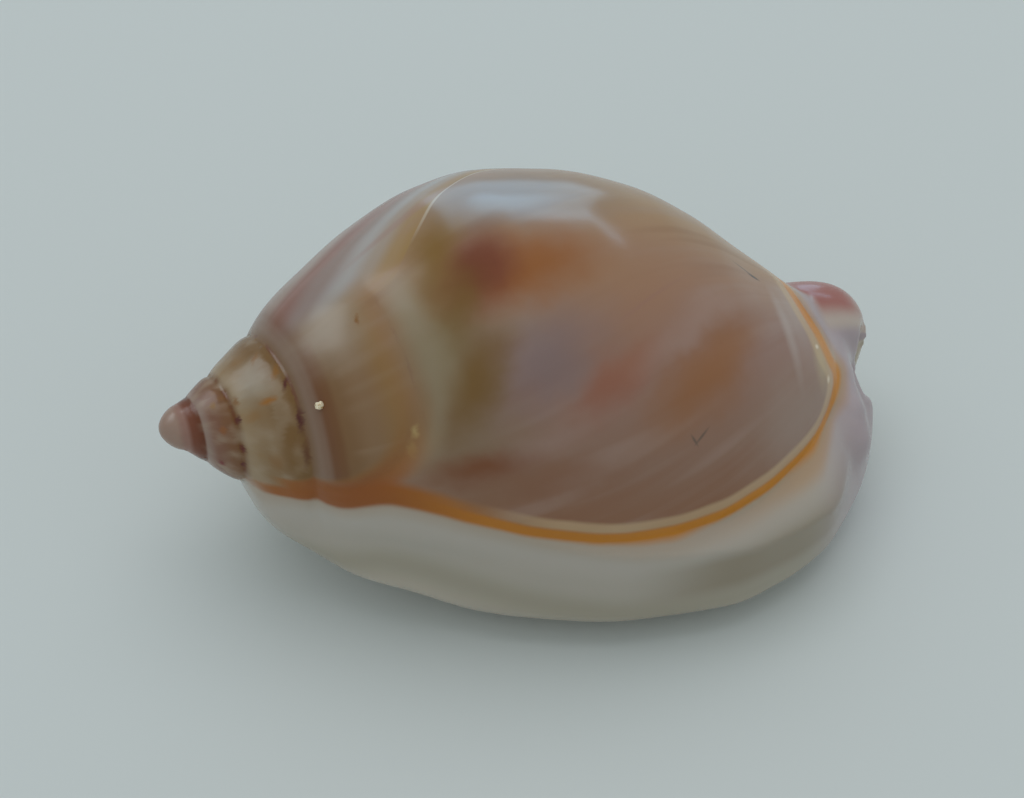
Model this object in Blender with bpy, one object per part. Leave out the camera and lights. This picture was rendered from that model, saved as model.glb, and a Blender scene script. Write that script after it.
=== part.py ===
"""Nassa shell, lying on its flat callus: one solid, with its mouth hollowed out.

The outer skin is one distance from the coiling axis for each direction around that axis and each
place along it. The whorled dome, the callus and lip that it sits in, the rounded siphonal end and
the flat underside are blended in that distance. A rim is added at the front, and the mouth and the
siphonal notch are cut out.
All lengths are in millimetres until a vertex is made.
"""
import math

import bmesh
import bpy
from mathutils import Vector

MM = 0.001

# Place of the shell: +X from apex to siphonal end, outer lip on -Y, underside on z = 0
APEX_X = -7.4225
AXIS_Y = -0.01
APEX_HEIGHT = 3.9
AXIS_TILT = math.radians(5.7)

# Coiling: growth in one turn, place of the last suture at 45 degrees, and the whorls' relief, which is
# a share of the distance from the axis
WHORL_GROWTH = 1.83
BODY_SUTURE = 4.43
SUTURE_DEPTH = 0.070
SUTURE_WIDTH = 0.09
LAST_SUTURE_WIDTH = 0.31
WHORL_BULGE = 0.030
SUTURE_LEAN = 0.10
LEAN_ANGLE = 108
LEAN_SPREAD = 36.0
CLIMB_START = 46
CLIMB_SPAN = 35.0
CLIMB_HEIGHT = 1.35

# Mesh
RING_POINTS = 72
RINGS = 56
TIP_END = 0.04
FRONT_END = 14.86
FRONT_CROWDING = 0.35

# Dome of whorls: place along the axis from the apex, distance from the axis
SPIRE = [(0, 0), (0.12, 0.27), (0.45, 0.52), (1.0, 0.92), (1.55, 1.29), (2.1, 1.78), (2.65, 2.28),
         (3.2, 2.73)]
DOME_NEAR = SPIRE + [(4.3, 3.36), (5.7, 3.98), (6.8, 4.32), (8.3, 4.58), (9.9, 4.50), (11.0, 4.15),
                     (12.0, 3.50), (13.0, 2.55), (13.8, 1.45), (14.2, 0.9), (14.5, 0.5), (15, 0.05)]
DOME_TOP = SPIRE + [(4.3, 3.42), (5.7, 4.10), (6.8, 4.33), (8.3, 4.25), (9.9, 3.76), (11.0, 3.12),
                    (12.0, 2.30), (12.8, 1.66), (13.4, 1.08), (13.8, 0.5), (15, 0.05)]
DOME_FAR = SPIRE + [(4.3, 3.48), (5.7, 4.11), (6.8, 4.31), (8.3, 4.15), (9.9, 3.66), (11.0, 3.00),
                    (12.0, 2.20), (12.8, 1.50), (13.4, 0.95), (13.8, 0.3), (15, 0.05)]
UNDER_SHRINK = 0.14

# Callus and outer lip: half widths, depth below the axis, and the angle where the dome meets them
LIP_WIDTH = [(0, -3.0), (1.2, 0.0), (1.8, 1.5), (2.6, 2.05), (3.5, 2.8), (4.55, 3.3), (6.55, 4.28),
             (8.6, 4.86), (10.5, 4.98), (11.7, 4.68), (12.7, 4.20), (13.5, 3.60), (14.1, 2.95), (14.6, 2.15),
             (15.0, 0.9)]
CALLUS_WIDTH = [(0, -3.0), (1.2, 0.0), (1.8, 1.4), (2.6, 2.05), (3.5, 2.9), (4.55, 3.8), (6.0, 4.6),
                (7.5, 5.0), (9.0, 4.92), (10.5, 4.40), (12.0, 3.45), (13.0, 2.55), (13.8, 1.8),
                (14.4, 1.3), (14.8, 0.9), (15.0, 0.5)]
DEPTH = [(0, -1.2), (1.0, 0.4), (1.5, 1.15), (1.8, 1.65), (2.3, 2.25), (2.65, 2.6), (3.4, 3.1), (4.4, 3.7),
         (5.5, 4.6), (7.0, 6.5), (15, 7)]
EDGE_ROUNDING = [(0, 0.8), (2, 1.2), (3, 2.0), (5.5, 3.2), (9, 1.8), (15, 1.5)]
FLOOR_ROUNDING = 2.4
LIP_LINE = [(0, -40), (1.7, -22), (2.8, -3), (3.9, 8), (5.3, 5), (7.1, 0), (8.1, -1), (9.5, -1), (11.0, 0),
            (12.3, 2), (13.2, 4), (15.0, 6)]
CALLUS_LINE = [(0, 190), (2.6, 185), (4.0, 178), (5.5, 176), (7.0, 180), (8.5, 183), (12.0, 184),
               (13.0, 186), (15.0, 200)]
LEDGE_SLOPE = math.radians(70)
LEDGE_LEAST = 0.28
LEDGE_ROUNDING = 0.9
SIDE_SWELL = 0.8
CREASE_ROUNDING = 0.10

# The lip's front leans back: how far its width is read ahead, for each degree above an angle
LIP_LEAN = 0.045
LEAN_FROM = -22
LEAN_BLEND = 12
LEAN_START = 12.6
LEAN_FULL = 13.8

# Rim from the lip around the front of the dome: x from the apex, y from the axis, height, and its radius
COLLAR = [(13.52, -2.24, 1.90, 0.54), (13.58, -1.84, 2.26, 0.50), (13.62, -1.22, 2.62, 0.42),
          (13.62, -0.66, 2.95, 0.34), (13.28, -0.08, 3.36, 0.24), (12.97, 0.32, 3.70, 0.14)]
COLLAR_POINTS = 14

# Rounded end of the siphonal canal
NOSE_RADIUS = 1.06
NOSE_OFFSET = (-0.22, 0.10)
NOSE_START = 12.2
NOSE_FULL = 13.0
NOSE_TAPER = 13.0
NOSE_BLUNTNESS = 3.6
NOSE_BLEND = 0.2
FRONT_BLUNTNESS = 13.0
FRONT_BLEND = 0.35

# Mouth: centre across, centre above the axis, centre along it, half width, half length
MOUTH = [(1.70, -4.60, 10.2, 1.30, 3.30),
         (1.72, -3.10, 10.1, 1.30, 3.25),
         (1.90, -2.10, 10.0, 1.32, 3.15),
         (2.20, -1.05, 9.8, 1.38, 3.00),
         (2.38, 0.00, 9.5, 1.42, 2.85),
         (2.30, 0.95, 9.1, 1.40, 2.65),
         (1.85, 1.75, 8.8, 1.36, 2.45),
         (1.05, 2.25, 8.4, 1.30, 2.25),
         (0.15, 2.38, 8.1, 1.20, 2.05),
         (-0.70, 2.15, 7.8, 1.08, 1.85),
         (-1.35, 1.65, 7.5, 0.92, 1.60)]
MOUTH_POINTS = 24

# Siphonal notch: x from the apex, y from the axis and height of its roof, which turns up at the front
NOTCH = [(11.6, -1.14, 0.75), (12.8, -1.03, 1.08), (14.0, -0.84, 1.55), (14.35, -0.72, 2.30),
         (14.6, -0.65, 3.00), (16.0, -0.59, 4.00)]
NOTCH_HALF_WIDTH = 0.45
NOTCH_BOTTOM = -1.0
NOTCH_POINTS = 16

FAR_AWAY = 30.0


def smooth_step(start, end, value):
    """0 before start, 1 after end, and an even curve between them."""
    t = min(max((value - start) / (end - start), 0.0), 1.0)
    return t * t * (3 - 2 * t)


def soft_min(a, b, width):
    """The lower of two values, rounded where they are closer than width."""
    h = min(max(0.5 + 0.5 * (b - a) / width, 0.0), 1.0)
    return b + (a - b) * h - width * h * (1 - h)


def soft_max(a, b, width):
    return -soft_min(-a, -b, width)


def slopes(points):
    """Slope at each point, such that the curve never swings past its points."""
    runs = [b[0] - a[0] for a, b in zip(points, points[1:])]
    rises = [(b[1] - a[1]) / run for a, b, run in zip(points, points[1:], runs)]
    result = [rises[0]]
    for i in range(1, len(rises)):
        before, after = rises[i - 1], rises[i]
        if before * after <= 0:
            result.append(0.0)
            continue
        w1, w2 = 2 * runs[i] + runs[i - 1], runs[i] + 2 * runs[i - 1]
        result.append((w1 + w2) / (w1 / before + w2 / after))
    return result + [rises[-1]]


def profile(points):
    """A smooth curve through the points, as a function."""
    tangents = slopes(points)

    def value(x):
        x = min(max(x, points[0][0]), points[-1][0])
        i = 0
        while i < len(points) - 2 and x > points[i + 1][0]:
            i += 1
        (x0, y0), (x1, y1) = points[i], points[i + 1]
        run = x1 - x0
        t = (x - x0) / run
        return ((2 * t ** 3 - 3 * t ** 2 + 1) * y0 + (t ** 3 - 2 * t ** 2 + t) * run * tangents[i]
                + (3 * t ** 2 - 2 * t ** 3) * y1 + (t ** 3 - t ** 2) * run * tangents[i + 1])

    return value


dome_near, dome_top, dome_far = profile(DOME_NEAR), profile(DOME_TOP), profile(DOME_FAR)
lip_width, callus_width = profile(LIP_WIDTH), profile(CALLUS_WIDTH)
depth, edge_rounding = profile(DEPTH), profile(EDGE_ROUNDING)
lip_line, callus_line = profile(LIP_LINE), profile(CALLUS_LINE)


def dome_envelope(angle, along):
    """The dome without its sutures. Angles in degrees: 0 outer lip side, 90 up, 180 far side."""
    turn = angle + 360 if angle < -90 else angle
    near, top, far = dome_near(along), dome_top(along), dome_far(along)
    low = near * (1 - UNDER_SHRINK * smooth_step(3.0, 5.0, along))
    value = near + (top - near) * smooth_step(0, 90, turn)
    value += (far - value) * smooth_step(90, 150, turn)
    value += (low - value) * smooth_step(200, 270, turn)
    return value + (low - value) * smooth_step(-4, -50, turn)


def lean(angle):
    """The sutures lie a little nearer the apex on the upper far side."""
    return SUTURE_LEAN * math.exp(-((angle - LEAN_ANGLE) / LEAN_SPREAD) ** 2)


def last_suture(angle):
    """Where the body whorl meets the spire. It climbs back onto the spire close to the lip."""
    climb = min(max((CLIMB_START - angle) / CLIMB_SPAN, 0.0), 1.35)
    return BODY_SUTURE * WHORL_GROWTH ** ((45 - angle) / 360 - lean(angle)) - CLIMB_HEIGHT * climb ** 2


def dome_distance(angle, along):
    """The dome with its whorls: a groove along each suture and a bulge between them."""
    turns = math.log(along / BODY_SUTURE) / math.log(WHORL_GROWTH) + (angle - 45) / 360 + lean(angle)
    part = turns - math.floor(turns)
    glazed = min(smooth_step(95, 130, angle) + smooth_step(-100, -140, angle), 1.0)
    bare = 1 - glazed * smooth_step(2.3, 3.4, along)
    groove = SUTURE_DEPTH * math.exp(-(min(part, 1 - part) / SUTURE_WIDTH) ** 2) if turns < -0.5 else 0.0
    off = (along - last_suture(angle)) / LAST_SUTURE_WIDTH
    groove += SUTURE_DEPTH * math.exp(-off ** 2) * smooth_step(-12, 8, angle)
    bulge = 0.0
    if turns < 0:
        bulge = WHORL_BULGE * math.sin(math.pi * part) * smooth_step(0.5, 1.2, along)
        bulge *= smooth_step(-30, 10, angle) if turns > -1 else 1.0
    return dome_envelope(angle, along) * (1 + bare * (bulge - groove))


def callus_distance(angle, along):
    """Callus and lip: upright sides, a ledge where the dome rises out of them, rounded below."""
    turn = math.radians(angle)
    near = math.cos(turn) > 0
    above = angle - LEAN_FROM
    ahead = LIP_LEAN * (above + math.hypot(above, LEAN_BLEND)) / 2 * smooth_step(LEAN_START, LEAN_FULL, along)
    width = lip_width(along + ahead) if near else callus_width(along)
    line = lip_line(along) if near else callus_line(along)
    side = width / max(abs(math.cos(turn)), 0.001) ** SIDE_SWELL
    normal = LEDGE_SLOPE if near else math.pi - LEDGE_SLOPE
    ledge = max(dome_envelope(line, along) * math.cos(math.radians(line) - normal), LEDGE_LEAST)
    facing = math.cos(turn - normal)
    top = ledge / facing if facing > 0.01 else FAR_AWAY
    below = depth(along) / -math.sin(turn) if math.sin(turn) < -0.001 else FAR_AWAY
    upper = soft_min(side, min(top, FAR_AWAY), LEDGE_ROUNDING)
    return soft_min(upper, min(below, FAR_AWAY), edge_rounding(along))


def nose_distance(angle, along):
    """The rounded end of the siphonal canal, a little past the axis on the far side."""
    t = min(max((along - NOSE_TAPER) / (FRONT_END - NOSE_TAPER), 0.0), 1.0)
    radius = NOSE_RADIUS * math.sqrt(1 - t ** NOSE_BLUNTNESS) * smooth_step(NOSE_START, NOSE_FULL, along)
    turn = math.radians(angle)
    reach = NOSE_OFFSET[0] * math.cos(turn) + NOSE_OFFSET[1] * math.sin(turn)
    across = NOSE_OFFSET[0] * math.sin(turn) - NOSE_OFFSET[1] * math.cos(turn)
    return reach + math.sqrt(radius ** 2 - across ** 2) if radius > abs(across) else 0.0


def floor_distance(angle, along):
    fall = -math.sin(math.radians(angle)) * math.cos(AXIS_TILT)
    return (APEX_HEIGHT - along * math.sin(AXIS_TILT)) / fall if fall > 0.001 else FAR_AWAY


def skin_distance(angle, along):
    """Distance from the axis to the outer skin."""
    value = soft_max(dome_distance(angle, along), callus_distance(angle, along), CREASE_ROUNDING)
    value = soft_max(value, nose_distance(angle, along), NOSE_BLEND)
    value = soft_min(value, floor_distance(angle, along), FLOOR_ROUNDING)
    blunt_end = math.sqrt((FRONT_END + TIP_END - along) * FRONT_BLUNTNESS)
    return soft_min(value, blunt_end, FRONT_BLEND)


def shell_point(across, above, along):
    """Across is towards the outer lip, above is up from the axis, along runs from the apex."""
    x = APEX_X + along * math.cos(AXIS_TILT) + above * math.sin(AXIS_TILT)
    z = APEX_HEIGHT - along * math.sin(AXIS_TILT) + above * math.cos(AXIS_TILT)
    return Vector((x, AXIS_Y - across, z)) * MM


def loft(bm, rings):
    """Faces between rings of equal count, closed at both ends with a fan."""
    loops = [[bm.verts.new(point) for point in ring] for ring in rings]
    for ring, following in zip(loops, loops[1:]):
        for i in range(len(ring)):
            j = (i + 1) % len(ring)
            bm.faces.new((ring[i], ring[j], following[j], following[i]))
    for ring in (loops[0], loops[-1]):
        middle = sum((v.co for v in ring), Vector()) / len(ring)
        centre = bm.verts.new(middle)
        for i in range(len(ring)):
            bm.faces.new((ring[i], ring[(i + 1) % len(ring)], centre))
    bmesh.ops.recalc_face_normals(bm, faces=bm.faces)


def add_object(name, rings, material=None):
    bm = bmesh.new()
    loft(bm, rings)
    mesh = bpy.data.meshes.new(name)
    bm.to_mesh(mesh)
    bm.free()
    mesh.shade_smooth()
    mesh.set_sharp_from_angle(angle=math.radians(50))
    piece = bpy.data.objects.new(name, mesh)
    bpy.context.scene.collection.objects.link(piece)
    if material:
        mesh.materials.append(material)
    return piece


def combine(piece, other, operation):
    other.hide_render = True
    other.display_type = "WIRE"
    modifier = piece.modifiers.new(other.name, "BOOLEAN")
    modifier.operation = operation
    modifier.solver = "EXACT"
    modifier.object = other


def skin_rings():
    """Rings around the axis, closer together at both ends."""
    rings = []
    for i in range(RINGS):
        even = i / (RINGS - 1)
        even += FRONT_CROWDING * even * (1 - even)
        share = (1 - math.cos(math.pi * even)) / 2
        along = TIP_END + (FRONT_END - TIP_END) * share
        ring = []
        for j in range(RING_POINTS):
            angle = -180 + 360 * j / RING_POINTS
            distance = skin_distance(angle, along)
            turn = math.radians(angle)
            ring.append(shell_point(distance * math.cos(turn), distance * math.sin(turn), along))
        rings.append(ring)
    return rings


def mouth_rings():
    """Oval sections square to a path that rises from the underside and turns around the axis."""
    rings = []
    for i, (across, above, along, half_width, half_length) in enumerate(MOUTH):
        before, after = MOUTH[max(i - 1, 0)], MOUTH[min(i + 1, len(MOUTH) - 1)]
        way = Vector((after[0] - before[0], after[1] - before[1])).normalized()
        ring = []
        for j in range(MOUTH_POINTS):
            turn = 2 * math.pi * j / MOUTH_POINTS
            side = half_width * math.cos(turn)
            ring.append(shell_point(across + side * way.y, above - side * way.x,
                                    along + half_length * math.sin(turn)))
        rings.append(ring)
    return rings


def collar_rings():
    """Round sections square to the rim's path."""
    rings = []
    origin = Vector((APEX_X, AXIS_Y, 0))
    for i, (x, y, z, radius) in enumerate(COLLAR):
        before, after = Vector(COLLAR[max(i - 1, 0)][:3]), Vector(COLLAR[min(i + 1, len(COLLAR) - 1)][:3])
        way = (after - before).normalized()
        side = way.orthogonal().normalized() if not rings else (side - way * side.dot(way)).normalized()
        other = way.cross(side)
        ring = []
        for j in range(COLLAR_POINTS):
            turn = 2 * math.pi * j / COLLAR_POINTS
            spoke = side * math.cos(turn) + other * math.sin(turn)
            ring.append((origin + Vector((x, y, z)) + spoke * radius) * MM)
        rings.append(ring)
    return rings


def notch_rings():
    """A round-topped channel that opens downwards and rises towards the front."""
    rings = []
    for x, y, top in NOTCH:
        ring = []
        for j in range(NOTCH_POINTS + 1):
            turn = math.pi * j / NOTCH_POINTS
            ring.append(Vector((APEX_X + x, AXIS_Y + y + NOTCH_HALF_WIDTH * math.cos(turn),
                                top - NOTCH_HALF_WIDTH * (1 - math.sin(turn)))) * MM)
        ring.append(Vector((APEX_X + x, AXIS_Y + y - NOTCH_HALF_WIDTH, NOTCH_BOTTOM)) * MM)
        ring.append(Vector((APEX_X + x, AXIS_Y + y + NOTCH_HALF_WIDTH, NOTCH_BOTTOM)) * MM)
        rings.append(ring)
    return rings


def shell_material():
    material = bpy.data.materials.new("glossy shell")
    material.use_nodes = True
    surface = material.node_tree.nodes["Principled BSDF"]
    surface.inputs["Base Color"].default_value = (0.36, 0.25, 0.20, 1)
    surface.inputs["Roughness"].default_value = 0.25
    surface.inputs["Metallic"].default_value = 0.0
    return material


for old in list(bpy.data.objects):
    bpy.data.objects.remove(old)

shell = add_object("shell", skin_rings(), shell_material())
combine(shell, add_object("collar_rim", collar_rings()), "UNION")
combine(shell, add_object("mouth_cutter", mouth_rings()), "DIFFERENCE")
combine(shell, add_object("notch_cutter", notch_rings()), "DIFFERENCE")
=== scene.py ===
import math

import bmesh
import bpy
import numpy as np
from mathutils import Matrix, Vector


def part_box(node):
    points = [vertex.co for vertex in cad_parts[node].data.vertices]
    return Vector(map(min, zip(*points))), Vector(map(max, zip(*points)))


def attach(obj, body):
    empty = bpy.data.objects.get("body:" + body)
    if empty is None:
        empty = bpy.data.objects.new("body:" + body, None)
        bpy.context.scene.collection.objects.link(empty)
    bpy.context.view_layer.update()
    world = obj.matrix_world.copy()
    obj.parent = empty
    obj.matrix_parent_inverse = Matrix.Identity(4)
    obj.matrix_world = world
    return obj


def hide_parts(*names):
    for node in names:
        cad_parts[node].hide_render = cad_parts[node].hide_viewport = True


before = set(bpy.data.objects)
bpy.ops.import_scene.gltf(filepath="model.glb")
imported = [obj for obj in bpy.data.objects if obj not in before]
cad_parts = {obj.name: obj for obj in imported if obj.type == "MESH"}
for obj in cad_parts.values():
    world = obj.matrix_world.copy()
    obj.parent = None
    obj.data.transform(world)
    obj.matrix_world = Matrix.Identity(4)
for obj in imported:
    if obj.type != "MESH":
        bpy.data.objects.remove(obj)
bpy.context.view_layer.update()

import openvdb
from mathutils import Vector

# The shell: one piece of porcelain-like lime, grown as a coil around a slightly tilted axis. Its
# whorls widen into a domed body, which sits in a thick smooth callus and lip. It lies on its mouth.
# The colours lie in the lime itself, under a thin gloss, and follow the lines in which it grew; a few
# highlights and one shade are painted in among them.
MM = 0.001
APEX_X = -7.4225
AXIS_Y = -0.01
APEX_HEIGHT = 3.9
AXIS_TILT = math.radians(5.7)
TIP_END = 0.04
FRONT_END = 14.86
WHORL_GROWTH = 1.83
BODY_SUTURE = 4.43

# Distance of the dome from the axis at places along it, on the lip side, on top and on the far side
SPIRE = [(0, 0), (0.12, 0.25), (0.45, 0.46), (1.0, 0.88), (1.55, 1.29), (2.1, 1.78), (2.65, 2.28),
         (3.2, 2.73)]
DOME_NEAR = SPIRE + [(4.3, 3.36), (5.7, 3.98), (6.8, 4.32), (8.3, 4.58), (9.9, 4.50), (11.0, 4.15),
                     (12.0, 3.50), (13.0, 2.55), (13.8, 1.45), (14.2, 0.9), (14.5, 0.5), (15, 0.05)]
DOME_TOP = SPIRE + [(4.3, 3.42), (5.7, 4.10), (6.8, 4.33), (8.3, 4.25), (9.9, 3.76), (11.0, 3.12),
                    (12.0, 2.30), (12.8, 1.66), (13.4, 1.08), (13.8, 0.5), (15, 0.05)]
DOME_FAR = SPIRE + [(4.3, 3.48), (5.7, 4.11), (6.8, 4.31), (8.3, 4.15), (9.9, 3.66), (11.0, 3.00),
                    (12.0, 2.20), (12.8, 1.50), (13.4, 0.95), (13.8, 0.3), (15, 0.05)]

# Half widths of the lip and the callus, the depth below the axis, and where the dome meets them
LIP_WIDTH = [(0, -3.0), (1.2, 0.0), (1.8, 1.5), (2.6, 2.05), (3.5, 2.8), (4.55, 3.3), (6.55, 4.28),
             (8.6, 4.86), (10.5, 4.98), (11.7, 4.68), (12.7, 4.20), (13.5, 3.60), (14.1, 2.95),
             (14.6, 2.15), (15.0, 0.9)]
CALLUS_WIDTH = [(0, -3.0), (1.2, 0.0), (1.8, 1.4), (2.6, 2.05), (3.5, 2.9), (4.55, 3.8), (6.0, 4.6),
                (7.5, 5.0), (9.0, 4.92), (10.5, 4.40), (12.0, 3.45), (13.0, 2.55), (13.8, 1.8),
                (14.4, 1.3), (14.8, 0.9), (15.0, 0.5)]
DEPTH = [(0, -1.2), (1.0, 0.4), (1.5, 1.15), (1.8, 1.65), (2.3, 2.25), (2.65, 2.6), (3.4, 3.1),
         (4.4, 3.7), (5.5, 4.6), (7.0, 6.5), (15, 7)]
EDGE_ROUNDING = [(0, 0.8), (2, 1.2), (3, 2.0), (5.5, 3.2), (9, 1.8), (15, 1.5)]
LIP_CREASE = [(0, -40), (1.7, -22), (2.8, -3), (3.9, 8), (5.3, 5), (7.1, 0), (8.1, -1), (9.5, -1),
              (11.0, 0), (12.3, 2), (13.2, 4), (15.0, 6)]
CALLUS_CREASE = [(0, 190), (2.6, 185), (4.0, 178), (5.5, 176), (7.0, 180), (8.5, 183), (12.0, 184),
                 (13.0, 186), (15.0, 200)]
LEDGE_SLOPE = math.radians(70)


def smooth_step(start, end, value):
    """0 before start, 1 after end, and an even curve between them."""
    t = np.clip((value - start) / (end - start), 0.0, 1.0)
    return t * t * (3 - 2 * t)


def soft_min(a, b, width):
    """The lower of two values, rounded where they are closer than width."""
    h = np.clip(0.5 + 0.5 * (b - a) / width, 0.0, 1.0)
    return b + (a - b) * h - width * h * (1 - h)


def soft_max(a, b, width):
    return -soft_min(-a, -b, width)


def profile(points):
    """A smooth curve through the points that never swings past them, as a function."""
    xs, ys = np.array(points, float).T
    runs = np.diff(xs)
    rises = np.diff(ys) / runs
    tangents = np.concatenate(([rises[0]], np.zeros(len(xs) - 2), [rises[-1]]))
    for i in range(1, len(rises)):
        if rises[i - 1] * rises[i] > 0:
            w1, w2 = 2 * runs[i] + runs[i - 1], runs[i] + 2 * runs[i - 1]
            tangents[i] = (w1 + w2) / (w1 / rises[i - 1] + w2 / rises[i])

    def value(x):
        x = np.clip(x, xs[0], xs[-1])
        i = np.clip(np.searchsorted(xs, x, side="right") - 1, 0, len(runs) - 1)
        t = (x - xs[i]) / runs[i]
        return ((2 * t ** 3 - 3 * t ** 2 + 1) * ys[i] + (t ** 3 - 2 * t ** 2 + t) * runs[i] * tangents[i]
                + (3 * t ** 2 - 2 * t ** 3) * ys[i + 1] + (t ** 3 - t ** 2) * runs[i] * tangents[i + 1])

    return value


dome_near, dome_top, dome_far = profile(DOME_NEAR), profile(DOME_TOP), profile(DOME_FAR)
lip_width, callus_width = profile(LIP_WIDTH), profile(CALLUS_WIDTH)
under_depth, edge_rounding = profile(DEPTH), profile(EDGE_ROUNDING)
lip_crease, callus_crease = profile(LIP_CREASE), profile(CALLUS_CREASE)


def dome_envelope(angle, along):
    """The dome without its sutures. Angles in degrees: 0 outer lip side, 90 up, 180 far side."""
    turn = np.where(angle < -90, angle + 360, angle)
    near, top, far = dome_near(along), dome_top(along), dome_far(along)
    low = near * (1 - 0.14 * smooth_step(3.0, 5.0, along))
    value = near + (top - near) * smooth_step(0, 90, turn)
    value += (far - value) * smooth_step(90, 150, turn)
    value += (low - value) * smooth_step(200, 270, turn)
    return value + (low - value) * smooth_step(-4, -50, turn)


def lean(angle):
    """The sutures lie a little nearer the apex on the upper far side."""
    return 0.10 * np.exp(-((angle - 108) / 36.0) ** 2)


def whorl_turns(angle, along):
    """Turns grown since the body suture: whole numbers lie on sutures."""
    spiral = np.log(np.maximum(along, 0.02) / BODY_SUTURE) / math.log(WHORL_GROWTH)
    return spiral + (angle - 45) / 360 + lean(angle)


def last_suture(angle):
    """Where the body whorl meets the spire. It climbs back onto the spire close to the lip."""
    climb = np.clip((46 - angle) / 35.0, 0.0, 1.35)
    return BODY_SUTURE * WHORL_GROWTH ** ((45 - angle) / 360 - lean(angle)) - 1.35 * climb ** 2


def glaze(angle, along):
    """1 where the callus has spread a smooth glaze over the far side of the spire."""
    side = np.minimum(smooth_step(95, 130, angle) + smooth_step(-100, -140, angle), 1.0)
    return side * smooth_step(2.3, 3.4, along)


def dome_distance(angle, along):
    """The dome with its whorls: a narrow groove in a soft hollow along each suture, and bulges between."""
    turns = whorl_turns(angle, along)
    part = turns - np.floor(turns)
    bare = 1 - glaze(angle, along)
    near_seam = np.minimum(part, 1 - part)
    groove = 0.024 * np.exp(-(near_seam / 0.06) ** 2) + 0.034 * np.exp(-(near_seam / 0.16) ** 2)
    groove = np.where(turns < -0.5, groove, 0.0)
    off = along - last_suture(angle)
    last = 0.014 * np.exp(-(off / 0.15) ** 2) * smooth_step(70, 35, angle)
    last += 0.030 * np.exp(-(off / 0.48) ** 2)
    groove += last * smooth_step(-12, 8, angle) * smooth_step(104, 66, angle)
    bulge = np.where(turns < 0, 0.026 * np.sin(math.pi * part), 0.0) * smooth_step(0.5, 1.2, along)
    bulge *= np.where(turns > -1, smooth_step(-30, 10, angle), 1.0)
    return dome_envelope(angle, along) * (1 + bare * (bulge - groove))


def callus_distance(angle, along):
    """Callus and lip: upright sides, a ledge where the dome rises out of them, rounded below."""
    turn = np.radians(angle)
    near = np.cos(turn) > 0
    width = np.where(near, lip_width(along), callus_width(along))
    crease = np.where(near, lip_crease(along), callus_crease(along))
    front = (angle + 22 + np.hypot(angle + 22, 12)) / 2 * smooth_step(12.6, 13.8, along)
    width = np.where(near, lip_width(along + 0.045 * front), width)
    side = width / np.maximum(np.abs(np.cos(turn)), 0.001) ** 0.8
    normal = np.where(near, LEDGE_SLOPE, math.pi - LEDGE_SLOPE)
    ledge = np.maximum(dome_envelope(crease, along) * np.cos(np.radians(crease) - normal), 0.28)
    facing = np.cos(turn - normal)
    top = np.where(facing > 0.01, ledge / np.maximum(facing, 0.01), 30.0)
    fall = -np.sin(turn)
    below = np.where(fall > 0.001, under_depth(along) / np.maximum(fall, 0.001), 30.0)
    upper = soft_min(np.clip(side, -9, 30), np.clip(top, -9, 30), 0.9)
    return soft_min(upper, np.clip(below, -9, 30), edge_rounding(along))


def nose_distance(angle, along):
    """The rounded end of the siphonal canal, a little past the axis on the far side."""
    t = np.clip((along - 13.0) / (FRONT_END - 13.0), 0.0, 1.0)
    radius = 1.06 * np.sqrt(1 - t ** 3.6) * smooth_step(12.2, 13.0, along)
    turn = np.radians(angle)
    reach = -0.22 * np.cos(turn) + 0.10 * np.sin(turn)
    across = -0.22 * np.sin(turn) - 0.10 * np.cos(turn)
    half = np.sqrt(np.maximum(radius ** 2 - across ** 2, 0))
    return np.where(radius > np.abs(across), reach + half, 0.0)


def floor_distance(angle, along):
    fall = -np.sin(np.radians(angle)) * math.cos(AXIS_TILT)
    height = APEX_HEIGHT - along * math.sin(AXIS_TILT)
    return np.where(fall > 0.001, height / np.maximum(fall, 0.001), 40.0)


def skin_distance(angle, along):
    """Distance from the axis to the outer skin, and less than nothing past both ends."""
    value = soft_max(dome_distance(angle, along), callus_distance(angle, along), 0.10)
    value = soft_max(value, nose_distance(angle, along), 0.2)
    value = soft_min(value, floor_distance(angle, along), 2.4)
    blunt_end = np.sqrt(np.maximum((FRONT_END + TIP_END - along) * 13.0, 0))
    value = soft_min(value, blunt_end, 0.35)
    tip = np.sqrt(np.maximum(along, 0) * 0.6)
    value = tip + (value - tip) * smooth_step(0.15, 0.6, along)
    past = np.maximum(-along, 0) + np.maximum(along - FRONT_END - TIP_END, 0)
    return np.where(past > 0, -2.2 * past, value)


def place_on_axis(points):
    """Distance towards the lip, height above the axis and place along it, from points in millimetres."""
    x, z = points[:, 0] - APEX_X, points[:, 2] - APEX_HEIGHT
    across = AXIS_Y - points[:, 1]
    above = x * math.sin(AXIS_TILT) + z * math.cos(AXIS_TILT)
    along = x * math.cos(AXIS_TILT) - z * math.sin(AXIS_TILT)
    return across, above, along


def shell_point(across, above, along):
    x = APEX_X + along * math.cos(AXIS_TILT) + above * math.sin(AXIS_TILT)
    z = APEX_HEIGHT - along * math.sin(AXIS_TILT) + above * math.cos(AXIS_TILT)
    return Vector((x, AXIS_Y - across, z)) * MM


def skin_depth(across, above, along):
    """Rough distance outside the outer skin, made even by how steeply the skin leans."""
    radius = np.hypot(across, above)
    angle = np.degrees(np.arctan2(above, across))
    here = skin_distance(angle, along)
    slope_along = (skin_distance(angle, along + 0.03) - here) / 0.03
    around = (skin_distance(angle + 0.5, along) - here) / math.radians(0.5)
    slope_around = around / np.maximum(radius, 0.3)
    return (radius - here) / np.sqrt(1 + slope_along ** 2 + slope_around ** 2)


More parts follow.
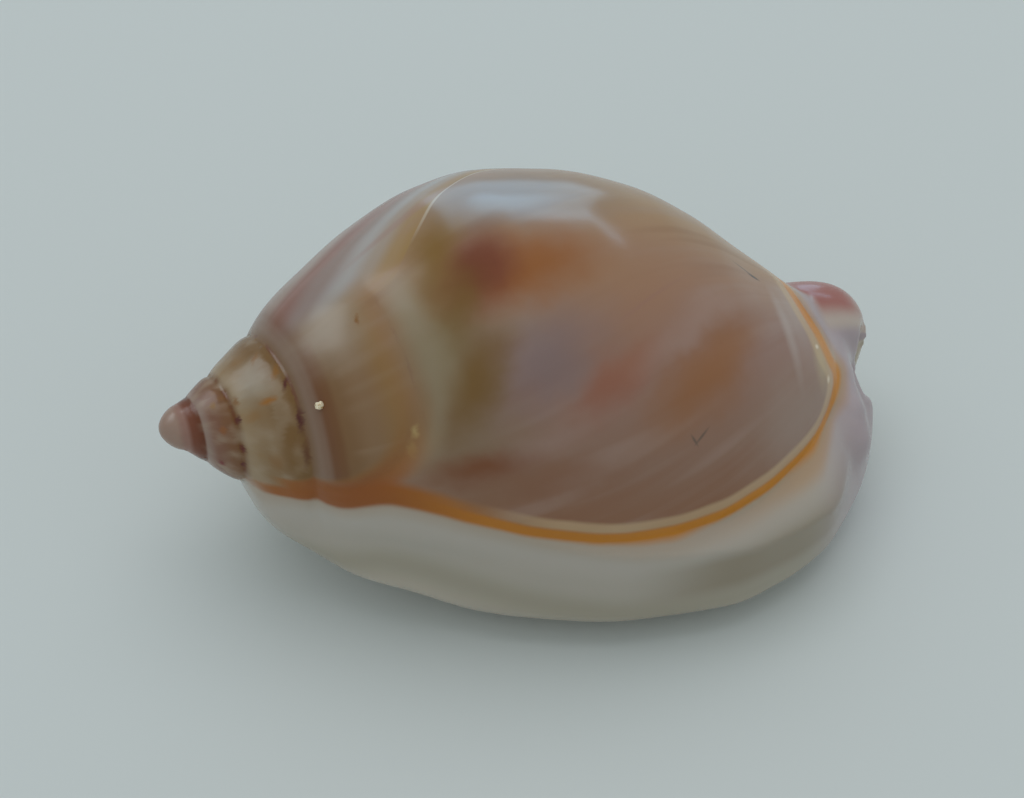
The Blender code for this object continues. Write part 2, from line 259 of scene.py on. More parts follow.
# The mouth: an oval hollow that rises from the underside and turns around the axis, with rounded lips
MOUTH = [(1.70, -4.60, 10.2, 1.30, 3.30),
         (1.72, -3.10, 10.1, 1.30, 3.25),
         (1.90, -2.10, 10.0, 1.32, 3.15),
         (2.20, -1.05, 9.8, 1.38, 3.00),
         (2.38, 0.00, 9.5, 1.42, 2.85),
         (2.30, 0.95, 9.1, 1.40, 2.65),
         (1.85, 1.75, 8.8, 1.36, 2.45),
         (1.05, 2.25, 8.4, 1.30, 2.25),
         (0.15, 2.38, 8.1, 1.20, 2.05),
         (-0.70, 2.15, 7.8, 1.08, 1.85),
         (-1.35, 1.65, 7.5, 0.92, 1.60)]


def mouth_depth(across, above, along):
    """Rough distance outside the mouth's hollow."""
    best = np.full(across.shape, 50.0)
    off = np.full(across.shape, 1e9)
    for (a0, b0, c0, w0, l0), (a1, b1, c1, w1, l1) in zip(MOUTH, MOUTH[1:]):
        run_a, run_b = a1 - a0, b1 - b0
        length = math.hypot(run_a, run_b)
        t = np.clip(((across - a0) * run_a + (above - b0) * run_b) / length ** 2, 0, 1)
        side_a, side_b = across - a0 - t * run_a, above - b0 - t * run_b
        gap = np.hypot(side_a, side_b)
        half_width, half_length = w0 + (w1 - w0) * t, l0 + (l1 - l0) * t
        reach = along - c0 - (c1 - c0) * t
        oval = np.sqrt((gap / half_width) ** 2 + (reach / half_length) ** 2) + 1e-6
        steep = np.sqrt((gap / half_width ** 2) ** 2 + (reach / half_length ** 2) ** 2) / oval
        value = (oval - 1) / np.maximum(steep, 0.2)
        closer = gap < off
        best = np.where(closer, value, best)
        off = np.where(closer, gap, off)
    return best


# The siphonal notch: a round-topped channel from the mouth to the front end, where its roof turns up
NOTCH_START = 11.6
NOTCH_END = 16.0
notch_middle = profile([(NOTCH_START, -1.14), (14.0, -0.84), (14.5, -0.67), (NOTCH_END, -0.59)])
notch_roof = profile([(NOTCH_START, 0.75), (14.0, 1.55), (14.35, 2.30), (14.6, 3.00), (NOTCH_END, 4.00)])
NOTCH_HALF_WIDTH = 0.45


def notch_depth(points):
    x = points[:, 0] - APEX_X
    rise = np.maximum(points[:, 2] - notch_roof(x) + NOTCH_HALF_WIDTH, 0)
    before = np.maximum(NOTCH_START - x, 0)
    aside = points[:, 1] - AXIS_Y - notch_middle(x)
    return np.sqrt(aside ** 2 + rise ** 2 + before ** 2) - NOTCH_HALF_WIDTH


# The collar: a rounded rim that runs from the lip around the front of the dome, and thins out at its top
COLLAR = [(13.52, -2.24, 1.90, 0.54), (13.58, -1.84, 2.26, 0.50), (13.62, -1.22, 2.62, 0.42),
          (13.62, -0.66, 2.95, 0.34), (13.28, -0.08, 3.36, 0.24), (12.97, 0.32, 3.70, 0.14)]


def collar_depth(points):
    points = points - (APEX_X, AXIS_Y, 0)
    best = np.full(len(points), 50.0)
    for (x0, y0, z0, r0), (x1, y1, z1, r1) in zip(COLLAR, COLLAR[1:]):
        start, run = np.array((x0, y0, z0)), np.array((x1 - x0, y1 - y0, z1 - z0))
        t = np.clip((points - start) @ run / (run @ run), 0, 1)
        gap = np.linalg.norm(points - start - t[:, None] * run, axis=1) - r0 - (r1 - r0) * t
        best = soft_min(best, gap, 0.05)
    return best


COLLAR_BLEND = 0.30
MOUTH_BLEND = 0.45
NOTCH_BLEND = 0.35


def cut_open(skin, points, across, above, along):
    """Adds the collar to the skin and takes the mouth and the notch out of it."""
    value = soft_min(skin, collar_depth(points), COLLAR_BLEND)
    value = soft_max(value, -mouth_depth(across, above, along), MOUTH_BLEND)
    return soft_max(value, -notch_depth(points), NOTCH_BLEND)


def shell_depth(points):
    """Rough distance outside the whole shell: outer skin less mouth and notch."""
    across, above, along = place_on_axis(points)
    return cut_open(skin_depth(across, above, along), points, across, above, along)


VOXEL = 0.082
MARGIN = 3 * VOXEL
low = np.array(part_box("shell")[0]) / MM - MARGIN
high = np.array(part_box("shell")[1]) / MM + MARGIN
counts = np.ceil((high - low) / VOXEL).astype(int) + 1

# Distances are looked up in a ring-by-ring table for the first surface, and worked out in full later
RINGS_PER_DEGREE = 2
RINGS_PER_MM = 50
TABLE_START = -0.6
TABLE_END = 15.6
TABLE_ANGLES = np.linspace(-180, 180, 360 * RINGS_PER_DEGREE + 1)
TABLE_PLACES = np.linspace(TABLE_START, TABLE_END, round((TABLE_END - TABLE_START) * RINGS_PER_MM) + 1)
table = skin_distance(*np.meshgrid(TABLE_ANGLES, TABLE_PLACES, indexing="ij"))


def table_distance(angle, along):
    i = np.clip((angle + 180) * RINGS_PER_DEGREE, 0, len(TABLE_ANGLES) - 1.001)
    j = np.clip((along - TABLE_START) * RINGS_PER_MM, 0, len(TABLE_PLACES) - 1.001)
    i0, j0 = i.astype(int), j.astype(int)
    ti, tj = i - i0, j - j0
    return ((table[i0, j0] * (1 - tj) + table[i0, j0 + 1] * tj) * (1 - ti)
            + (table[i0 + 1, j0] * (1 - tj) + table[i0 + 1, j0 + 1] * tj) * ti)


field = np.empty(counts, np.float32)
ys = low[1] + VOXEL * np.arange(counts[1])
zs = low[2] + VOXEL * np.arange(counts[2])
grid_y, grid_z = (g.ravel() for g in np.meshgrid(ys, zs, indexing="ij"))
for i in range(counts[0]):
    slab = np.column_stack((np.full(grid_y.size, low[0] + VOXEL * i), grid_y, grid_z))
    across, above, along = place_on_axis(slab)
    skin = np.hypot(across, above) - table_distance(np.degrees(np.arctan2(above, across)), along)
    field[i] = cut_open(skin, slab, across, above, along).reshape(counts[1], counts[2])

volume = openvdb.FloatGrid()
volume.copyFromArray(field)
corners, quads = volume.convertToQuads()
corners = corners * VOXEL + low


def slope(points):
    """Direction in which the depth grows fastest, and how fast."""
    step = 0.02
    moves = np.eye(3) * step
    grown = [(shell_depth(points + move) - shell_depth(points - move)) / (2 * step) for move in moves]
    return np.column_stack(grown)


# Two steps along the slope put the corners on the true skin
for _ in range(2):
    steepest = slope(corners)
    size = np.maximum((steepest ** 2).sum(1), 0.25)
    move = steepest * (shell_depth(corners) / size)[:, None]
    corners = corners - np.clip(move, -VOXEL, VOXEL)

mesh = bpy.data.meshes.new("shell_skin")
mesh.from_pydata((corners * MM).tolist(), [], quads[:, ::-1].tolist())
mesh.shade_smooth()
shell = bpy.data.objects.new("nassa_shell", mesh)
bpy.context.scene.collection.objects.link(shell)

# Where the marks of growth run. The orange seam parts the painted back from the white lip
seam_angle = profile([(0, -95), (1.0, -85), (1.4, -45), (1.7, -22), (2.8, -4), (3.9, 8), (5.3, 4),
                      (7.1, 0), (9.0, -1), (10.05, 1), (11.2, 3), (12.5, 4), (13.3, 10), (15.0, 30)])
seam_front = profile([(-90, 13.5), (8, 13.5), (19, 13.54), (38, 13.29), (63, 13.08), (96, 12.98),
                      (108, 12.70), (130, 12.35), (165, 12.3), (270, 12.6)])
glaze_edge = profile([(60, 3.3), (75, 3.9), (88, 4.57), (95, 4.90), (101, 5.20), (112, 5.81),
                      (117, 6.34), (121, 6.83), (128, 7.68), (138, 8.85), (150, 10.0), (165, 11.2),
                      (180, 11.9), (270, 12.6)])
callus_edge = profile([(0, 275), (1.0, 268), (1.6, 215), (2.2, 188), (3.0, 182), (15.0, 182)])
UNROLL_RADIUS = 4.0

across, above, along = place_on_axis(corners)
radius = np.hypot(across, above)
angle = np.degrees(np.arctan2(above, across))
turns = whorl_turns(angle, along)
angle = np.where(angle < -90, angle + 360, angle)
arc = np.radians(angle) * UNROLL_RADIUS
MARK_ROUNDING = 0.4
lip_gap = soft_min(np.radians(angle - seam_angle(along)) * radius, seam_front(angle) - along, MARK_ROUNDING)
lip_gap = soft_min(lip_gap, np.radians(callus_edge(along) - angle) * radius, MARK_ROUNDING)
suture_gap = along - last_suture(np.minimum(angle, 180))
old_seam_gap = np.abs(turns - np.round(turns)) * along * math.log(WHORL_GROWTH)
glaze_gap = glaze_edge(angle) - along
skin_gap = radius - skin_distance(angle, along)


def keep_on_mesh(name, *values):
    """Stores three measures on each corner, for the paint to read."""
    layer = mesh.attributes.new(name, "FLOAT_VECTOR", "POINT")
    layer.data.foreach_set("vector", np.column_stack(values).astype(np.float32).ravel())


keep_on_mesh("unrolled", arc, along, np.zeros(len(arc)))
keep_on_mesh("seams", lip_gap, suture_gap, old_seam_gap)
keep_on_mesh("growth", turns, glaze_gap, skin_gap)

material = bpy.data.materials.new("glazed shell")
material.use_nodes = True
nodes, links = material.node_tree.nodes, material.node_tree.links
surface = nodes["Principled BSDF"]


def feed(socket, value):
    """Joins another node's result to the socket, or sets a plain value on it."""
    if isinstance(value, bpy.types.NodeSocket):
        links.new(value, socket)
    else:
        socket.default_value = value


def measured(name):
    """The three measures kept on the mesh, together and one by one."""
    source = nodes.new("ShaderNodeAttribute")
    source.attribute_name = name
    parts = nodes.new("ShaderNodeSeparateXYZ")
    links.new(source.outputs["Vector"], parts.inputs[0])
    return source.outputs["Vector"], parts.outputs[0], parts.outputs[1], parts.outputs[2]


def calculate(operation, *values):
    node = nodes.new("ShaderNodeMath")
    node.operation = operation
    for socket, value in zip(node.inputs, values):
        feed(socket, value)
    return node.outputs[0]


def fade(value, start, end, most=1.0):
    """0 where the value is at start, most at end, with an even curve between."""
    node = nodes.new("ShaderNodeMapRange")
    node.interpolation_type = "SMOOTHSTEP"
    feed(node.inputs["Value"], value)
    node.inputs["From Min"].default_value = start
    node.inputs["From Max"].default_value = end
    node.inputs["To Max"].default_value = most
    return node.outputs["Result"]


def line(value, middle, half_width, most=1.0):
    """A stripe where the value is near the middle, with soft edges."""
    off = calculate("ABSOLUTE", calculate("SUBTRACT", value, middle))
    return fade(off, half_width, half_width * 0.3, most)


def both(*shares):
    result = shares[0]
    for share in shares[1:]:
        result = calculate("MULTIPLY", result, share)
    return result


def stretched(vector, size, turn=0.0, place=(0, 0, 0)):
    """The vector as seen from a place, turned, and measured in lengths of size."""
    node = nodes.new("ShaderNodeMapping")
    node.vector_type = "TEXTURE"
    links.new(vector, node.inputs["Vector"])
    node.inputs["Location"].default_value = place
    node.inputs["Rotation"].default_value = (0, 0, math.radians(turn))
    node.inputs["Scale"].default_value = size
    return node.outputs[0]


def cloudy(vector, detail=3.0, colour=False):
    """Even noise with lumps about one unit across."""
    node = nodes.new("ShaderNodeTexNoise")
    links.new(vector, node.inputs["Vector"])
    node.inputs["Scale"].default_value = 1.0
    node.inputs["Detail"].default_value = detail
    return node.outputs["Color" if colour else "Fac"]


SKY_SHARE = (0.47, 0.49, 0.49)
GLOSS_SHARE = (0.020, 0.026, 0.032)


def paint(*seen):
    """The paint that shows as this red, green and blue, from 0 to 255, under the sky and its gloss."""
    light = [((part / 255 + 0.055) / 1.055) ** 2.4 for part in seen]
    paints = [max(part - gloss, 0.006) / share for part, gloss, share in zip(light, GLOSS_SHARE, SKY_SHARE)]
    return (*paints, 1.0)


def coat_with(under, over, share):
    node = nodes.new("ShaderNodeMix")
    node.data_type = "RGBA"
    feed(node.inputs[0], share)
    feed(node.inputs[6], under)
    feed(node.inputs[7], over)
    return node.outputs[2]


def shades(value, start, end, stops):
    """Colours in order along the value, from start to end."""
    node = nodes.new("ShaderNodeValToRGB")
    ramp = node.color_ramp
    ramp.interpolation = "EASE"
    while len(ramp.elements) < len(stops):
        ramp.elements.new(1.0)
    for element, (place, colour) in zip(ramp.elements, stops):
        element.position = (place - start) / (end - start)
        element.color = paint(*colour)
    scaled = nodes.new("ShaderNodeMapRange")
    feed(scaled.inputs["Value"], value)
    scaled.inputs["From Min"].default_value = start
    scaled.inputs["From Max"].default_value = end
    links.new(scaled.outputs["Result"], node.inputs["Fac"])
    return node.outputs["Color"]


unrolled, arc_in, along_in, _ = measured("unrolled")
_, lip_in, suture_in, old_seam_in = measured("seams")
_, turns_in, glaze_in, skin_in = measured("growth")

# The pattern wanders a little, as colours laid down by a living edge do
def wandering(vector, size, amount):
    """The vector moved about by up to half the amount, in lumps of the size."""
    drift = nodes.new("ShaderNodeVectorMath")
    drift.operation = "MULTIPLY_ADD"
    links.new(cloudy(stretched(vector, (size, size, 1)), 3, True), drift.inputs[0])
    drift.inputs[1].default_value = (amount, amount, 0)
    drift.inputs[2].default_value = (-amount / 2, -amount / 2, 0)
    moved = nodes.new("ShaderNodeVectorMath")
    moved.operation = "ADD"
    links.new(vector, moved.inputs[0])
    links.new(drift.outputs[0], moved.inputs[1])
    return moved.outputs[0]


patch_place = wandering(unrolled, 0.9, 0.7)
spot_place = wandering(unrolled, 0.15, 0.16)
unsteady = calculate("SUBTRACT", cloudy(stretched(unrolled, (1.6, 1.6, 1)), 2), 0.5)
EDGE_REACH = 1.35


def stain(under, colour, angle, along, reach_around, reach_along, turn=0, most=0.8, place_on=patch_place):
    """Paints a soft oval patch, given by its middle, its reach around and along, and its turn."""
    middle = (math.radians(angle) * UNROLL_RADIUS, along, 0)
    oval = stretched(place_on, (reach_around * EDGE_REACH, reach_along * EDGE_REACH, 1), turn, middle)
    node = nodes.new("ShaderNodeTexGradient")
    node.gradient_type = "SPHERICAL"
    links.new(oval, node.inputs["Vector"])
    return coat_with(under, paint(*colour), fade(node.outputs["Fac"], 0.0, 0.95, most))


# The back of the body whorl: pinkish brown, sandier over the top, with streaks along the growth lines
slanted = calculate("SUBTRACT", arc_in, calculate("MULTIPLY", along_in, 0.37))
streak_place = nodes.new("ShaderNodeCombineXYZ")
links.new(slanted, streak_place.inputs[0])
links.new(along_in, streak_place.inputs[1])
streaks = cloudy(stretched(streak_place.outputs[0], (0.55, 4.5, 1)), 1)
fine_streaks = cloudy(stretched(streak_place.outputs[0], (0.22, 4.0, 1)), 0)
body = shades(arc_in, -1.0, 10.0, [(0.3, (110, 86, 74)), (1.5, (112, 93, 84)), (3.4, (117, 98, 92)),
                                   (5.2, (124, 101, 87)), (7.2, (136, 114, 92)), (9.0, (128, 110, 100))])
body = coat_with(body, paint(128, 114, 108), fade(streaks, 0.52, 0.72, 0.35))
body = coat_with(body, paint(106, 80, 68), fade(streaks, 0.47, 0.28, 0.35))
body = coat_with(body, paint(130, 116, 110), fade(fine_streaks, 0.56, 0.75, 0.05))
# Each patch: the colour it shows, its angle and place along, its reach around and along, turn and strength
for patch in [
    ((118, 100, 78), 108, 9.5, 2.2, 3.4, 0, 0.5),
    ((102, 92, 86), 102, 6.9, 1.3, 2.4, 0, 0.8),
    ((104, 96, 78), 60, 4.95, 2.1, 1.0, 0, 0.85),
    ((102, 92, 78), 30, 5.2, 1.5, 1.3, 20, 0.6),
    ((108, 97, 97), 57, 6.8, 1.1, 1.3, 0, 0.75),
    ((104, 92, 92), 50, 7.0, 0.8, 1.7, -25, 0.8),
    ((117, 84, 74), 43, 8.1, 0.48, 1.2, -30, 0.8),
    ((114, 80, 70), 38, 7.7, 0.42, 0.8, -30, 0.5),
    ((124, 97, 80), 60, 8.6, 1.0, 1.6, -25, 0.5),
    ((114, 84, 66), 38, 9.7, 0.75, 1.6, -28, 0.8),
    ((116, 86, 68), 47, 10.4, 0.55, 1.5, -30, 0.7),
    ((122, 106, 100), 26, 6.4, 0.36, 1.8, -25, 0.5),
    ((128, 110, 102), 57, 10.2, 0.36, 2.1, -28, 0.5),
    ((118, 106, 96), 62, 6.0, 0.6, 0.9, 0, 0.6),
    ((96, 66, 54), 21, 5.4, 0.42, 1.1, -10, 0.85),
    ((104, 78, 66), 17, 6.6, 0.42, 1.8, -10, 0.6),
    ((94, 76, 48), 46, 5.35, 1.35, 0.62, 25, 0.85),
    ((123, 100, 84), 70, 7.6, 0.85, 2.0, -12, 0.7),
    ((116, 78, 50), 75, 6.75, 0.85, 1.7, -12, 0.85),
    ((92, 58, 34), 78, 5.80, 1.0, 0.85, 25, 0.9),
    ((102, 82, 34), 87, 5.15, 1.5, 0.60, 15, 0.85),
    ((94, 78, 44), 68, 5.40, 1.0, 0.45, 25, 0.65),
    ((122, 112, 106), 20, 12.0, 1.2, 1.4, 0, 0.5),
    ((134, 126, 122), 60, 12.6, 1.9, 0.5, 0, 0.55),
]:
    body = stain(body, *patch)

# A greenish white band follows the last suture down the body whorl
edge_band = both(fade(suture_in, -0.30, 0.45), fade(calculate("ADD", suture_in, unsteady), 0.85, 0.25))
edge_band = both(edge_band, fade(arc_in, 6.8, 5.2), fade(arc_in, 0.7, 2.2, 0.75))
body = coat_with(body, paint(116, 108, 92), edge_band)

# The spire: each whorl in bands along its coil, with a lavender and a purple-brown strip on the last but one
spire = shades(turns_in, -4.6, 0.2, [
    (-4.6, (122, 106, 98)), (-3.8, (116, 94, 88)), (-3.4, (94, 66, 60)), (-3.0, (86, 60, 54)),
    (-2.9, (116, 102, 96)), (-2.55, (102, 80, 72)), (-2.15, (98, 76, 64)), (-2.0, (92, 70, 52)),
    (-1.85, (120, 106, 88)), (-1.5, (110, 94, 76)), (-1.2, (98, 80, 62)), (-1.03, (96, 78, 60)),
    (-0.98, (100, 83, 70)), (-0.90, (106, 91, 82)), (-0.84, (103, 87, 78)), (-0.77, (93, 71, 60)),
    (-0.70, (95, 73, 60)), (-0.62, (101, 82, 66)), (-0.40, (108, 90, 74)), (-0.12, (112, 91, 68)),
    (0.0, (112, 90, 68))])
mottle = cloudy(stretched(spot_place, (1.3, 0.45, 1)), 1)
old_whorls = both(fade(turns_in, -1.0, -1.15), fade(turns_in, -3.3, -2.6))
spire = coat_with(spire, paint(132, 122, 108), both(fade(mottle, 0.40, 0.75, 0.5), old_whorls))
spire = coat_with(spire, paint(112, 84, 56), both(fade(mottle, 0.42, 0.20, 0.35), old_whorls))
pale_streaks = both(fade(streaks, 0.5, 0.7, 0.2), fade(turns_in, -0.65, -0.5))
spire = coat_with(spire, paint(126, 112, 98), pale_streaks)
seam_dashes = both(line(old_seam_in, 0.0, 0.05), fade(mottle, 0.58, 0.42, 0.45), fade(along_in, 0.9, 1.2))
spire = coat_with(spire, paint(86, 56, 30), seam_dashes)
# Paler upper parts of the last whorl but one and the whorl before it: partly their own cream colour, partly
# a painted highlight
spire = stain(spire, (126, 118, 106), 80, 3.15, 1.6, 0.75, 0, 0.6)
spire = stain(spire, (122, 118, 108), 72, 1.75, 1.4, 0.35, 0, 0.5)
colour = coat_with(spire, body, fade(suture_in, -0.55, 0.35))
suture_shade = both(line(suture_in, -0.10, 0.45, 0.5), fade(arc_in, 4.6, 1.0))
colour = coat_with(colour, paint(114, 84, 46), suture_shade)

# Brown spots beside the upper sutures, and a small yellow-white chip at the last suture
for spot in [
    ((112, 82, 54), 72, 2.12, 0.40, 0.08, 10, 0.7), ((72, 48, 30), 62, 2.25, 0.30, 0.06, 10, 0.9),
    ((70, 50, 34), 40, 2.40, 0.60, 0.08, 0, 0.9), ((78, 58, 42), 20, 2.46, 0.60, 0.08, 0, 0.7),
    ((108, 80, 56), 90, 1.85, 0.35, 0.07, 10, 0.6), ((122, 86, 54), 54, 1.90, 0.20, 0.16, 35, 0.85),
    ((104, 78, 48), 12, 1.95, 0.5, 0.14, 0, 0.5),
    ((104, 76, 52), 62, 1.38, 0.40, 0.06, 0, 0.7), ((74, 46, 30), 44, 1.37, 0.35, 0.05, 0, 0.9),
    ((80, 52, 34), 14, 1.42, 0.35, 0.05, 0, 0.9), ((74, 46, 34), -6, 1.42, 0.30, 0.05, 0, 0.9),
    ((112, 80, 62), 34, 1.08, 0.45, 0.08, 0, 0.8), ((92, 50, 40), -14, 1.05, 0.40, 0.07, 0, 0.9),
    ((116, 90, 58), 66, 0.98, 0.40, 0.06, 0, 0.6), ((104, 76, 44), 76, 3.62, 0.16, 0.06, 0, 0.8),
    ((144, 130, 94), 33, 4.30, 0.18, 0.09, 10, 0.6), ((130, 114, 82), 27, 4.22, 0.26, 0.09, 0, 0.4),
]:
    colour = stain(colour, *spot, spot_place)

# The glaze that the callus spreads over the far side: bluish white over pink, sandy next to its edge, with a
# painted highlight along the edge
over = fade(glaze_in, -0.02, 0.06)
glazed = shades(glaze_in, 0.0, 5.0, [(0.0, (124, 104, 74)), (0.35, (126, 108, 84)), (0.8, (128, 120, 112)),
                                     (1.3, (132, 132, 132)), (2.0, (116, 106, 104)), (3.0, (110, 84, 80)),
                                     (4.2, (122, 108, 102))])
glazed = coat_with(glazed, paint(124, 100, 96), fade(streaks, 0.5, 0.7, 0.4))
glazed = coat_with(glazed, paint(150, 148, 142), fade(calculate("ADD", arc_in, unsteady), 9.5, 12.5, 0.9))
reach = both(over, fade(arc_in, 5.7, 6.7), fade(turns_in, -0.95, -0.6))
colour = coat_with(colour, glazed, calculate("MULTIPLY", reach, 0.9))
# Painted highlight: a thin bright line along the glaze's edge, standing in for the glint on its rim
painted_edge_glint = both(line(glaze_in, 0.0, 0.06, 0.55), fade(arc_in, 6.5, 7.5))
colour = coat_with(colour, paint(158, 152, 138), painted_edge_glint)

# The lip and the callus: white porcelain, with a cream line, the orange seam and its soft outer edge, and a
# painted shade below the seam
lip = shades(lip_in, -5.0, 0.0, [(-5.0, (154, 151, 145)), (-3.0, (144, 140, 131)), (-2.0, (128, 125, 115)),
                                 (-1.3, (136, 133, 126)), (-0.6, (139, 136, 130)), (-0.1, (134, 126, 116))])
# Painted shade: a darker olive stripe on the lip, where a shallow valley would lie in shade; the valley
# itself is not modelled
painted_valley_shade = both(line(lip_in, -1.15, 0.85), fade(along_in, 8.0, 10.5))
lip = coat_with(lip, paint(110, 104, 92), calculate("MULTIPLY", painted_valley_shade, 0.8))
front = both(fade(along_in, 12.0, 14.0, 0.7), fade(lip_in, -0.1, -0.3))
front = both(front, fade(arc_in, 9.0, 7.0), fade(arc_in, -5.5, -3.0))
lip = coat_with(lip, paint(136, 128, 136), front)
beak = both(fade(arc_in, 3.4, 4.6), fade(arc_in, 14.0, 12.0))
beak = both(beak, fade(lip_in, -0.45, -0.7), fade(along_in, 11.3, 12.3))
lip = coat_with(lip, paint(144, 136, 130), beak)
blush = both(fade(arc_in, 4.6, 6.4), fade(arc_in, 12.5, 9.0), fade(along_in, 15.0, 14.2, 0.9))
lip = coat_with(lip, paint(124, 84, 82), calculate("MULTIPLY", beak, blush))
wobble = calculate("MULTIPLY", unsteady, 0.10)
seam = calculate("ADD", lip_in, wobble)
cream = both(line(seam, 0.28, 0.20, 0.7), fade(along_in, 5.0, 7.0), fade(arc_in, 8.6, 6.6))
colour = coat_with(colour, paint(148, 130, 106), cream)
colour = coat_with(colour, lip, fade(seam, 0.10, -0.10))
seam_bleed = both(line(seam, -0.14, 0.30, 0.4), fade(along_in, 9.5, 12.5))
colour = coat_with(colour, paint(142, 112, 78), seam_bleed)
orange = shades(along_in, 1.0, 13.5, [(1.0, (122, 82, 30)), (3.2, (112, 74, 8)), (6.0, (140, 96, 14)),
                                      (9.5, (148, 102, 20)), (12.8, (154, 106, 28))])
thin = both(line(seam, 0.03, 0.21), fade(arc_in, 8.4, 6.6), fade(along_in, 1.3, 2.0))
colour = coat_with(colour, orange, thin)
spread = both(line(seam, 0.12, 0.36), fade(along_in, 1.6, 3.6), fade(along_in, 6.2, 4.2))
spread = both(spread, fade(arc_in, 3.2, 1.2))
colour = coat_with(colour, orange, spread)
climb = both(line(suture_in, 0.05, 0.50), fade(arc_in, 2.6, 0.8), fade(lip_in, -0.1, 0.1))
colour = coat_with(colour, orange, calculate("MULTIPLY", climb, 0.7))

# Wear close to the lip: a speck with a tail, a tick-shaped scratch and pale streaks, and two painted
# highlights
for mark in [
    ((44, 42, 38), 81, 11.88, 0.08, 0.16, 20, 0.98), ((86, 80, 74), 83, 11.68, 0.05, 0.30, 25, 0.8),
    ((86, 78, 74), 25, 9.61, 0.03, 0.22, -40, 0.9), ((86, 78, 74), 24.3, 9.45, 0.03, 0.14, 58, 0.9),
    ((156, 130, 96), 104, 12.45, 0.07, 0.75, -8, 0.7), ((138, 131, 127), 53, 12.22, 1.6, 0.16, 0, 0.55),
    # The two small near-white marks, at 12.97 and 13.14 along, are painted glints on the front of the lip
    ((144, 134, 110), 34, 12.98, 1.0, 0.24, 0, 0.5), ((176, 170, 154), 42, 12.97, 0.10, 0.06, 0, 0.8),
    ((174, 166, 148), 24, 13.14, 0.14, 0.06, 0, 0.7), ((116, 92, 88), 62, 9.0, 0.05, 1.2, -28, 0.25),
]:
    colour = stain(colour, *mark, unrolled)

# Inside the mouth the skin is bare glossy lime, warmer the deeper it goes
colour = coat_with(colour, paint(148, 142, 132), fade(skin_in, -0.15, -0.6))
colour = coat_with(colour, paint(140, 118, 96), fade(skin_in, -1.2, -3.0, 0.8))

feed(surface.inputs["Base Color"], colour)
surface.inputs["Roughness"].default_value = 0.22
surface.inputs["IOR"].default_value = 1.5
surface.inputs["Coat Weight"].default_value = 0.08
surface.inputs["Coat Roughness"].default_value = 0.18
surface.inputs["Specular IOR Level"].default_value = 0.32
surface.inputs["Subsurface Weight"].default_value = 0.12
surface.inputs["Subsurface Radius"].default_value = (1.0, 0.6, 0.45)
surface.inputs["Subsurface Scale"].default_value = 0.15 * MM
relief = nodes.new("ShaderNodeBump")
relief.inputs["Strength"].default_value = 0.6
relief.inputs["Distance"].default_value = 0.02 * MM
skin_place = nodes.new("ShaderNodeTexCoord")
ripple_size = (1.1 * MM, 0.8 * MM, 0.8 * MM)
ripples = cloudy(stretched(skin_place.outputs["Object"], ripple_size), 1)
links.new(ripples, relief.inputs["Height"])
links.new(relief.outputs["Normal"], surface.inputs["Normal"])
mesh.materials.append(material)
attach(shell, "root")
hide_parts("shell")

# A grain of beach sand: a chipped crumb of pale quartz, about a fifth of a millimetre across. It
# sticks to the last whorl but one, its lower side sunk a little into the skin.
GRAIN_ANGLE = 46
GRAIN_PLACE = 2.71
GRAIN_HALF_SIZE = (0.085, 0.070, 0.105)
GRAIN_ROUGHNESS = 0.22
GRAIN_STAND_OFF = 0.05
grain_radius = float(skin_distance(GRAIN_ANGLE, GRAIN_PLACE)) + GRAIN_STAND_OFF
grain_across = grain_radius * math.cos(math.radians(GRAIN_ANGLE))
grain_above = grain_radius * math.sin(math.radians(GRAIN_ANGLE))
chips = np.random.default_rng(5)
grain_shape = bmesh.new()
bmesh.ops.create_icosphere(grain_shape, subdivisions=2, radius=MM)
for corner in grain_shape.verts:
    corner.co = corner.co * (1 + GRAIN_ROUGHNESS * chips.uniform(-1, 1))
    corner.co = Vector(c * half for c, half in zip(corner.co, GRAIN_HALF_SIZE))
grain_mesh = bpy.data.meshes.new("sand_grain")
grain_shape.to_mesh(grain_mesh)
grain_shape.free()
grain = bpy.data.objects.new("sand_grain", grain_mesh)
grain.location = shell_point(grain_across, grain_above, GRAIN_PLACE)
grain.rotation_euler = (0.5, 0.3, 0.2)
bpy.context.scene.collection.objects.link(grain)
quartz = bpy.data.materials.new("pale quartz")
quartz.use_nodes = True
nodes, links = quartz.node_tree.nodes, quartz.node_tree.links
grain_surface = nodes["Principled BSDF"]
grain_place = nodes.new("ShaderNodeTexCoord")
crystal = cloudy(stretched(grain_place.outputs["Object"], (0.05 * MM, 0.05 * MM, 0.05 * MM)), 2)
grain_colour = coat_with(paint(186, 178, 156), paint(150, 126, 88), fade(crystal, 0.5, 0.65))
feed(grain_surface.inputs["Base Color"], grain_colour)
grain_surface.inputs["Roughness"].default_value = 0.35
grain_mesh.materials.append(quartz)
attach(grain, "root")
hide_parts("shell")

# The floor that the shell lies on: a wide plain pale sheet, matt all over
floor_mesh = bpy.data.meshes.new("floor")
FLOOR_REACH = 0.5
floor_mesh.from_pydata([(-FLOOR_REACH, -FLOOR_REACH, 0), (FLOOR_REACH, -FLOOR_REACH, 0),
                        (FLOOR_REACH, FLOOR_REACH, 0), (-FLOOR_REACH, FLOOR_REACH, 0)], [], [(0, 1, 2, 3)])
floor = bpy.data.objects.new("floor", floor_mesh)
bpy.context.scene.collection.objects.link(floor)
cloth = bpy.data.materials.new("pale floor")
cloth.use_nodes = True
cloth.node_tree.nodes["Principled BSDF"].inputs["Base Color"].default_value = (0.71, 0.74, 0.725, 1)
cloth.node_tree.nodes["Principled BSDF"].inputs["Roughness"].default_value = 0.9
floor_mesh.materials.append(cloth)

# Daylight: a soft sky all round, and the windows behind and on the left that shine on the glaze
CENTRE = Vector((0, 0, 3)) * MM
WINDOW_DISTANCE = 0.30


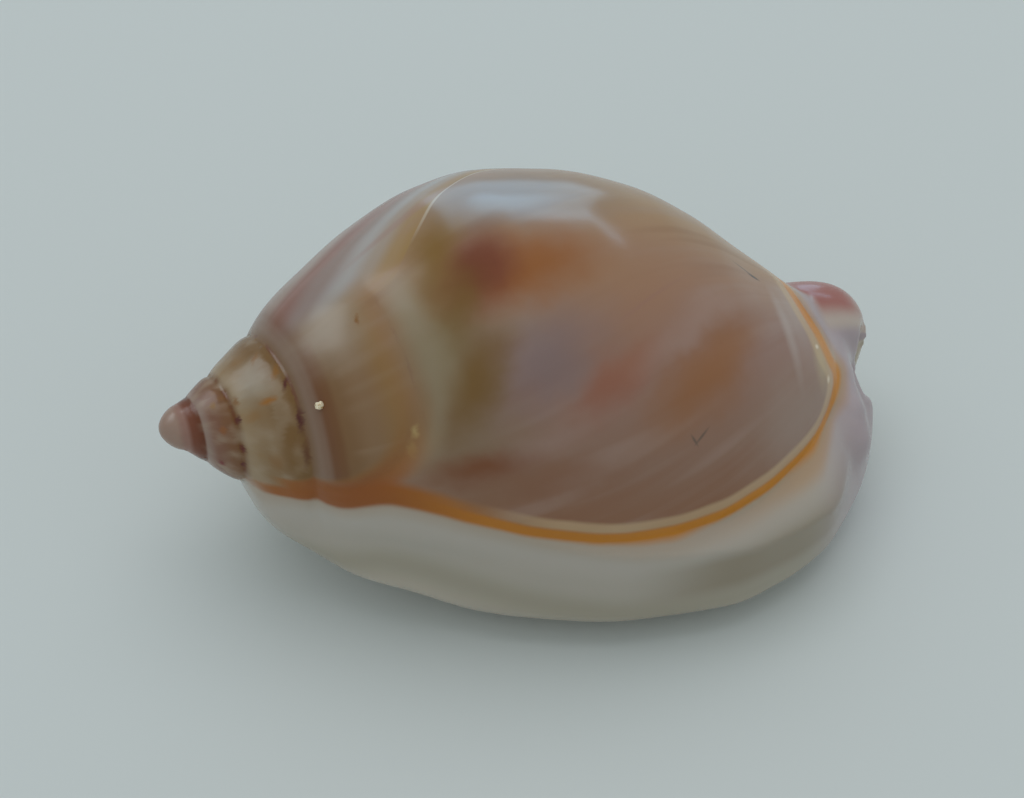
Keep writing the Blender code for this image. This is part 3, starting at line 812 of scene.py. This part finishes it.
def window(name, azimuth, elevation, wide, high, brightness, colour, only_gloss=True):
    """A lit rectangle seen from the shell in a direction, with its width and height in degrees."""
    turn, rise = math.radians(azimuth), math.radians(elevation)
    way = Vector((math.sin(turn) * math.cos(rise), -math.cos(turn) * math.cos(rise), math.sin(rise)))
    light = bpy.data.lights.new(name, "AREA")
    light.shape = "RECTANGLE"
    light.size = 2 * WINDOW_DISTANCE * math.tan(math.radians(wide / 2))
    light.size_y = 2 * WINDOW_DISTANCE * math.tan(math.radians(high / 2))
    light.energy = brightness * math.pi * light.size * light.size_y
    light.color = colour
    lamp = bpy.data.objects.new(name, light)
    lamp.location = CENTRE + way * WINDOW_DISTANCE
    lamp.rotation_euler = way.to_track_quat("Z", "Y").to_euler()
    lamp.visible_diffuse = not only_gloss
    lamp.visible_glossy = only_gloss
    bpy.context.scene.collection.objects.link(lamp)


BLUISH = (0.42, 0.74, 1.0)
window("back_window", 166, 26, 22, 17, 3.3, BLUISH)
window("back_glow", 165, 20, 34, 40, 2.0, BLUISH)
window("far_window", 140, 33, 22, 6, 4.2, BLUISH)
window("left_window", -126, 36, 30, 24, 1.9, (0.86, 0.95, 1.0))
window("left_glow", -118, 34, 40, 34, 0.6, (0.86, 0.95, 1.0))
window("high_light", 165, 76, 60, 50, 0.8, (0.95, 0.97, 1.0), False)

sky = bpy.data.worlds.new("sky")
sky.use_nodes = True
sky.node_tree.nodes["Background"].inputs["Color"].default_value = (0.84, 0.93, 0.95, 1)
sky.node_tree.nodes["Background"].inputs["Strength"].default_value = 0.54
bpy.context.scene.world = sky
bpy.context.scene.view_settings.view_transform = "Standard"

# The camera looks down on the shell from the lip side, a little from the spire
AIM = Vector((-0.2855, -0.1068, 2.8041)) * MM
VIEW_AZIMUTH = math.radians(-16.5)
VIEW_ELEVATION = math.radians(45)
VIEW_DISTANCE = 60 * MM
towards_camera = Vector((math.sin(VIEW_AZIMUTH) * math.cos(VIEW_ELEVATION),
                         -math.cos(VIEW_AZIMUTH) * math.cos(VIEW_ELEVATION), math.sin(VIEW_ELEVATION)))
camera_data = bpy.data.cameras.new("camera")
camera_data.sensor_width = 36
camera_data.lens = 104.6
camera_data.clip_start = 1 * MM
camera = bpy.data.objects.new("camera", camera_data)
camera.location = AIM + towards_camera * VIEW_DISTANCE
camera.rotation_euler = towards_camera.to_track_quat("Z", "Y").to_euler()
bpy.context.scene.collection.objects.link(camera)
bpy.context.scene.camera = camera
